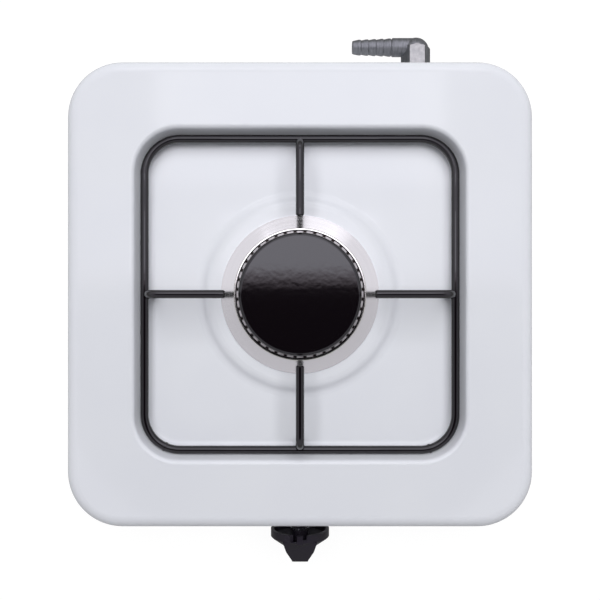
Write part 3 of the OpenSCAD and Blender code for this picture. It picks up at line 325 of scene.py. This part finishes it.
# %% Pressed fibre
SPECK_SIZE = 1.0
FIBRE_GRAIN = 0.6
made, tree, shader, place = new_finish("pressed_vulcanised_fibre", Roughness=0.6, IOR=1.5)
specks = add_node(tree, "ShaderNodeTexNoise", {"Scale": 1 / (SPECK_SIZE * MM)}, {"Vector": place})
paper = add_node(tree, "ShaderNodeMix", {FIRST: linear("#8f3b30"), SECOND: linear("#7a2f28")},
                 {"Factor": specks.outputs["Fac"]}, data_type="RGBA")
tree.links.new(paper.outputs[MIXED], shader.inputs["Base Color"])
grain = add_node(tree, "ShaderNodeTexNoise", {"Scale": 1 / (FIBRE_GRAIN * MM)}, {"Vector": place})
bump = add_node(tree, "ShaderNodeBump", {"Strength": 0.4, "Distance": 0.03 * MM},
                {"Height": grain.outputs["Fac"]})
tree.links.new(bump.outputs["Normal"], shader.inputs["Normal"])
FINISHES["red_fibre"] = made
print("finishes:", sorted(FINISHES))

# %% [markdown]
# ## Every solid gets its finish
# The record names a material slot for each solid. A loop puts the matching finish there, so a change of one
# finish reaches every piece that has it. Only the crown gets the stained casting with painted shade in its
# slots, because only it meets flame.

# %% Finishes in the record's slots
for part in frame["record"]["subparts"]:
    node = NODES[part["node"]]
    finish = BURNT_AND_SHADED_CASTING if part["node"] == "burner_crown" else FINISHES[part["material_slot"]]
    node.data.materials.clear()
    node.data.materials.append(finish)
print("solids with a finish:", sum(1 for node in NODES.values() if node.data.materials))

# %% [markdown]
# ## Working with operators
# New pieces are made as by hand: everything is deselected, a primitive is added at its size and place, and
# it is shaped in edit mode. A finished piece has its place in its mesh and its object at the origin. It
# then rides on the body that carries it, so it follows every joint, and takes a finish.

# %% Starting and finishing a piece
def deselect_all():
    bpy.ops.object.select_all(action="DESELECT")


def only(piece):
    """Selects one object alone."""
    deselect_all()
    piece.select_set(True)
    bpy.context.view_layer.objects.active = piece


def settle(piece, name, body, slot):
    """Moves a piece's place into its mesh, and gives it its name, its body and its finish."""
    only(piece)
    bpy.ops.object.transform_apply(location=True, rotation=True, scale=True)
    piece.name = name
    piece.data.name = name
    piece.data.materials.clear()
    piece.data.materials.append(FINISHES[slot])
    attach(piece, body)
    print(name, "polygons:", len(piece.data.polygons))


# %% [markdown]
# ## Welds of the pan support
# The ring is bent from one length of wire in two halves, butt welded near the front corners, and each
# finger is welded to the ring's inner side. Enamel then covers the welds, so they show as soft black beads.
# The seam beads are short cylinders round the wire that stand a third of a millimetre proud of it. Only the
# sharp rims of their ends are selected and bevelled, so that they swell out of the wire.

# %% Seam beads in the ring
ring_low, ring_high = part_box("pan_support_ring")
WIRE_R = (ring_high[2] - ring_low[2]) / 2
RING_Z = (ring_high[2] + ring_low[2]) / 2
RING_HALF = ring_high[0] - WIRE_R
RING_CORNER_R = 22.5 * MM
BEAD_LEN = 1.6 * MM
BEAD_PROUD = 0.35 * MM
BEAD_ROUND = 0.7 * MM


def seam_bead(name, side, angle):
    """A bead round the wire at an angle on a front corner. side is -1 on the left and 1 on the right."""
    corner = RING_HALF - RING_CORNER_R
    x = side * corner + RING_CORNER_R * math.cos(angle)
    y = -corner + RING_CORNER_R * math.sin(angle)
    deselect_all()
    bpy.ops.mesh.primitive_cylinder_add(vertices=32, radius=WIRE_R + BEAD_PROUD, depth=BEAD_LEN,
                                        location=(x, y, RING_Z), rotation=(math.pi / 2, 0, angle))
    bead = bpy.context.object
    bpy.ops.object.mode_set(mode="EDIT")
    bpy.ops.mesh.select_all(action="DESELECT")
    bpy.ops.mesh.edges_select_sharp(sharpness=math.radians(60))
    bpy.ops.mesh.bevel(offset=BEAD_ROUND, segments=4, clamp_overlap=True)
    bpy.ops.object.mode_set(mode="OBJECT")
    bpy.ops.object.shade_smooth()
    settle(bead, name, "pan_support", "black_enamel")


seam_bead("seam_bead_left", -1, math.radians(-114.6))
seam_bead("seam_bead_right", 1, math.radians(-74.5))

# %% [markdown]
# The bead at a finger's foot fills the corner between its upright leg and the ring. A ball is flattened in
# edit mode and pushed about a little, because no hand weld is regular. It is modelled once, on the right,
# and copied round the burner.

# %% Beads at the fingers' feet
FOOT_BEAD_HALVES = (0.95, 3.1, 1.9)
FOOT_BEAD_RISE = 0.4 * MM
deselect_all()
bpy.ops.mesh.primitive_uv_sphere_add(segments=24, ring_count=16, radius=1 * MM,
                                     location=(RING_HALF - WIRE_R, 0, RING_Z + FOOT_BEAD_RISE))
bead = bpy.context.object
bpy.ops.object.mode_set(mode="EDIT")
bpy.ops.mesh.select_all(action="SELECT")
bpy.ops.transform.resize(value=FOOT_BEAD_HALVES)
bpy.ops.transform.vertex_random(offset=0.12 * MM, seed=3)
bpy.ops.mesh.vertices_smooth(factor=0.5, repeat=2)
bpy.ops.object.mode_set(mode="OBJECT")
bpy.ops.object.shade_smooth()
foot_beads = [bead]
for turn in (90, 180, 270):
    only(bead)
    bpy.ops.object.duplicate()
    bpy.ops.transform.rotate(value=math.radians(turn), orient_axis="Z", center_override=(0, 0, 0))
    foot_beads.append(bpy.context.object)
for number, piece in enumerate(foot_beads, 1):
    settle(piece, "foot_bead_%d" % number, "pan_support", "black_enamel")

# %% [markdown]
# ## The moulded knob
# A moulding has no sharp edge, because the mould is rounded where a cutter made it, and the flanks of this
# grip swell a little for the fingers. The solid of the knob has the true skirt, notches, pointer and hub,
# so a copy of it is the best start. The copy's doubles are merged and its flat faces joined. The four
# points in the middle of the flanks are drawn outwards, and a bevel softens every edge. The copy stands for
# the solid.

# %% A copy of the knob with swollen flanks
FLANK_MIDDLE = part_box("knob")[0][1] + 7.9 * MM
FLANK_SWELL = 1.03
TAP_Z = 37 * MM
only(NODES["knob"])
bpy.ops.object.duplicate()
knob = bpy.context.object
bpy.ops.object.parent_clear(type="CLEAR_KEEP_TRANSFORM")
bpy.ops.object.mode_set(mode="EDIT")
bpy.ops.mesh.select_all(action="SELECT")
bpy.ops.mesh.remove_doubles(threshold=0.001 * MM)
bpy.ops.mesh.dissolve_limited(angle_limit=math.radians(1))
bpy.ops.mesh.select_all(action="DESELECT")
bpy.ops.object.mode_set(mode="OBJECT")
middle = [v for v in knob.data.vertices if abs(v.co.y - FLANK_MIDDLE) < 0.1 * MM]
for vertex in middle:
    vertex.select = True
bpy.ops.object.mode_set(mode="EDIT")
bpy.ops.transform.resize(value=(FLANK_SWELL, 1, 1), center_override=(0, FLANK_MIDDLE, TAP_Z))
bpy.ops.object.mode_set(mode="OBJECT")
print("points in the middle of the flanks:", len(middle))

# %% The knob's soft edges
EDGE_ROUND = 0.45 * MM
EDGE_ANGLE = math.radians(35)
soft = knob.modifiers.new("soft_edges", "BEVEL")
soft.width = EDGE_ROUND
soft.segments = 3
soft.limit_method = "ANGLE"
soft.angle_limit = EDGE_ANGLE
bpy.ops.object.modifier_apply(modifier=soft.name)
bpy.ops.object.shade_smooth_by_angle(angle=EDGE_ANGLE)
settle(knob, "moulded_knob", "spindle", "black_plastic")
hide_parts("knob")

# %% [markdown]
# ## Camera
# The photograph looks straight down from half a metre above the plate, a little in front of the burner. The
# focal length follows from the plate's size in the picture: 797 pixels of distance for each distance of one.

# %% Camera
IMAGE_WIDTH = 600
FOCAL_PIXELS = 797
SENSOR_WIDTH = 36
CAMERA_Y = -3.6 * MM
CAMERA_Z = 572 * MM
deselect_all()
bpy.ops.object.camera_add(location=(0, CAMERA_Y, CAMERA_Z), rotation=(0, 0, 0))
camera = bpy.context.object
camera.name = "camera"
camera.data.sensor_width = SENSOR_WIDTH
camera.data.lens = SENSOR_WIDTH * FOCAL_PIXELS / IMAGE_WIDTH
camera.data.clip_start = 0.01
bpy.context.scene.camera = camera
print("lens in mm:", round(camera.data.lens, 1))

# %% [markdown]
# ## What the glossy surfaces mirror
# Enamel and metal show the ceiling more than their own colour. A softbox hangs over the back half, and its
# soft front edge is mirrored across the middle of the cap. A dark card stands for the camera. Three
# softboxes farther back put the bright lines on the wire and the spill ring, and white and grey cards stand
# for the rest of the room. The cards are seen in mirror images alone and light nothing else.

# %% The glow of a card
CEILING = 0.672
EDGE_START = 0.013
EDGE_END = 0.042
ROOM_TINT = (0.98, 0.965, 1.08, 1)
EDGE_TINT = (1.0, 0.84, 0.95, 1)


def card_finish(name, radiance, edge_radiance=None):
    """A glowing card. Where edge_radiance is given, the glow fades to it across the softbox's front edge."""
    made = bpy.data.materials.new(name)
    made.use_nodes = True
    tree = made.node_tree
    tree.nodes.clear()
    glow = add_node(tree, "ShaderNodeEmission", {"Color": ROOM_TINT, "Strength": radiance})
    if edge_radiance is not None:
        place = add_node(tree, "ShaderNodeTexCoord").outputs["Object"]
        depth = add_node(tree, "ShaderNodeSeparateXYZ", links={0: place}).outputs["Y"]
        inside = add_node(tree, "ShaderNodeMapRange", {"From Min": EDGE_START, "From Max": EDGE_END},
                          {"Value": depth}).outputs["Result"]
        level = add_node(tree, "ShaderNodeMapRange", {"To Min": edge_radiance, "To Max": radiance},
                         {"Value": inside})
        tree.links.new(level.outputs["Result"], glow.inputs["Strength"])
        tint = add_node(tree, "ShaderNodeMix", {FIRST: EDGE_TINT, SECOND: ROOM_TINT}, {"Factor": inside},
                        data_type="RGBA")
        tree.links.new(tint.outputs[MIXED], glow.inputs["Color"])
    add_node(tree, "ShaderNodeOutputMaterial", links={"Surface": glow.outputs[0]})
    return made


def only_mirrored(card, finish):
    """Gives a card its glow, and shows it in glossy surfaces alone."""
    only(card)
    bpy.ops.object.transform_apply(location=True, rotation=True, scale=True)
    card.data.materials.append(finish)
    card.visible_camera = False
    card.visible_diffuse = False
    card.visible_shadow = False


# %% [markdown]
# The cards hang one millimetre above each other, and a card of a lower layer hides those above it. Most are
# plain rectangles. The camera's card is half a disc, cut off straight where the softbox begins.

# %% The cards under the ceiling
def ceiling_card(name, low, high, layer, radiance, edge_radiance=None):
    """A rectangle overhead, from its low corner to its high one in metres."""
    deselect_all()
    bpy.ops.mesh.primitive_plane_add(size=1)
    card = bpy.context.object
    card.name = name
    middle = ((low[0] + high[0]) / 2, (low[1] + high[1]) / 2, CEILING + layer * MM)
    bpy.ops.transform.resize(value=(high[0] - low[0], high[1] - low[1], 1))
    bpy.ops.transform.translate(value=middle)
    only_mirrored(card, card_finish(name, radiance, edge_radiance))


def dark_half_disc(name, radius, layer, radiance):
    """A disc overhead without its back half."""
    deselect_all()
    bpy.ops.mesh.primitive_circle_add(vertices=64, radius=radius, fill_type="NGON",
                                      location=(0, 0, CEILING + layer * MM))
    card = bpy.context.object
    card.name = name
    bpy.ops.object.mode_set(mode="EDIT")
    bpy.ops.mesh.select_all(action="SELECT")
    bpy.ops.mesh.bisect(plane_co=(0, EDGE_START, 0), plane_no=(0, 1, 0), clear_outer=True)
    bpy.ops.object.mode_set(mode="OBJECT")
    only_mirrored(card, card_finish(name, radiance))


CAMERA_DARK = 0.03
FRONT_GREY = 0.66
ceiling_card("softbox_middle", (-0.11, EDGE_START), (0.11, 0.12), 0, 2.6, CAMERA_DARK)
ceiling_card("softbox_wide", (-0.3, EDGE_START), (0.3, 0.16), 1, 1.2, 0.4)
dark_half_disc("camera_card", 0.37, 2, CAMERA_DARK)
ceiling_card("softbox_back", (-0.2, 0.12), (0.2, 0.36), 3, 2.2)
ceiling_card("second_lamp", (0.04, 0.3), (0.28, 0.5), 4, 1.2)
ceiling_card("softbox_far", (-0.36, 0.62), (0.36, 0.95), 5, 2.2)
ceiling_card("white_ceiling", (-2, EDGE_START), (2, 2), 6, 0.9)
ceiling_card("grey_ceiling", (-2, -2), (2, EDGE_START), 7, FRONT_GREY)

# %% [markdown]
# ## Light
# One wide lamp lights what isn't a mirror image. It hangs high above and behind the plate, so the back is a
# little brighter than the front and the shadows in the well are soft. White is set once, by the lamp's
# radiance, at the level where a colour renders as it is written.

# %% Lamp
LAMP_LOW = (-1.5, -0.3)
LAMP_HIGH = (1.8, 3.6)
LAMP_HEIGHT = 3
LAMP_RADIANCE = 3.2
middle = ((LAMP_LOW[0] + LAMP_HIGH[0]) / 2, (LAMP_LOW[1] + LAMP_HIGH[1]) / 2, LAMP_HEIGHT)
deselect_all()
bpy.ops.object.light_add(type="AREA", location=middle, rotation=(0, 0, 0))
lamp = bpy.context.object
lamp.name = "lamp"
lamp.data.shape = "RECTANGLE"
lamp.data.size = LAMP_HIGH[0] - LAMP_LOW[0]
lamp.data.size_y = LAMP_HIGH[1] - LAMP_LOW[1]
lamp.data.energy = LAMP_RADIANCE * math.pi * lamp.data.size * lamp.data.size_y
lamp.visible_camera = False
lamp.visible_glossy = False
print("lamp in watts:", round(lamp.data.energy))

# %% [markdown]
# ## White floor
# The picture's ground is pure white, yet the plate must not float. The camera sees the floor mostly as plain
# white, with a little of the real, lit paper mixed in, so the object keeps its shadow. Glossy surfaces see
# plain white too, but less of it, as the sides of the plate mirror the shaded floor close by. Everything else
# meets the lit paper.

# %% Floor
FLOOR_WHITE = 0.85
FLOOR_MIRRORED = 0.35
PAPER_GLOW = 0.5
deselect_all()
bpy.ops.mesh.primitive_plane_add(size=30)
floor = bpy.context.object
floor.name = "floor"
paper = bpy.data.materials.new("white_paper")
paper.use_nodes = True
tree = paper.node_tree
tree.nodes.clear()
path = add_node(tree, "ShaderNodeLightPath")
diffuse = add_node(tree, "ShaderNodeBsdfDiffuse", {"Color": linear("#e7e7e7")})
shine = add_node(tree, "ShaderNodeEmission", {"Color": (1, 1, 1, 1), "Strength": PAPER_GLOW})
matt = add_node(tree, "ShaderNodeAddShader", links={0: diffuse.outputs[0], 1: shine.outputs[0]})
plain = add_node(tree, "ShaderNodeMapRange", {"To Min": 1.0, "To Max": FLOOR_MIRRORED},
                 {"Value": path.outputs["Is Glossy Ray"]})
white = add_node(tree, "ShaderNodeEmission", {"Color": (1, 1, 1, 1)}, {"Strength": plain.outputs["Result"]})
seen = add_node(tree, "ShaderNodeMath", {1: FLOOR_WHITE},
                {0: path.outputs["Is Camera Ray"], 2: path.outputs["Is Glossy Ray"]},
                operation="MULTIPLY_ADD")
mixed = add_node(tree, "ShaderNodeMixShader",
                 links={"Fac": seen.outputs[0], 1: matt.outputs[0], 2: white.outputs[0]})
add_node(tree, "ShaderNodeOutputMaterial", links={"Surface": mixed.outputs[0]})
floor.data.materials.append(paper)
print("floor, plain white to the camera:", FLOOR_WHITE)

# %% [markdown]
# ## The room
# A dim white room fills the shadows from the sides. The camera sees it as pure white, so the picture's ground
# goes on past the floor, and glossy surfaces see it half as bright.

# %% Room
ROOM_FILL = 0.12
ROOM_MIRRORED = 0.5
room = bpy.data.worlds.new("room")
bpy.context.scene.world = room
room.use_nodes = True
tree = room.node_tree
tree.nodes.clear()
path = add_node(tree, "ShaderNodeLightPath")
mirrored = add_node(tree, "ShaderNodeMapRange", {"To Min": ROOM_FILL, "To Max": ROOM_MIRRORED},
                    {"Value": path.outputs["Is Glossy Ray"]})
seen = add_node(tree, "ShaderNodeMath",
                links={0: path.outputs["Is Camera Ray"], 1: path.outputs["Is Transmission Ray"]},
                operation="MAXIMUM")
level = add_node(tree, "ShaderNodeMath", links={0: seen.outputs[0], 1: mirrored.outputs["Result"]},
                 operation="MAXIMUM")
sky = add_node(tree, "ShaderNodeBackground", {"Color": (1, 1, 1, 1)}, {"Strength": level.outputs[0]})
add_node(tree, "ShaderNodeOutputWorld", links={"Surface": sky.outputs[0]})
bpy.context.scene.view_settings.view_transform = "Standard"
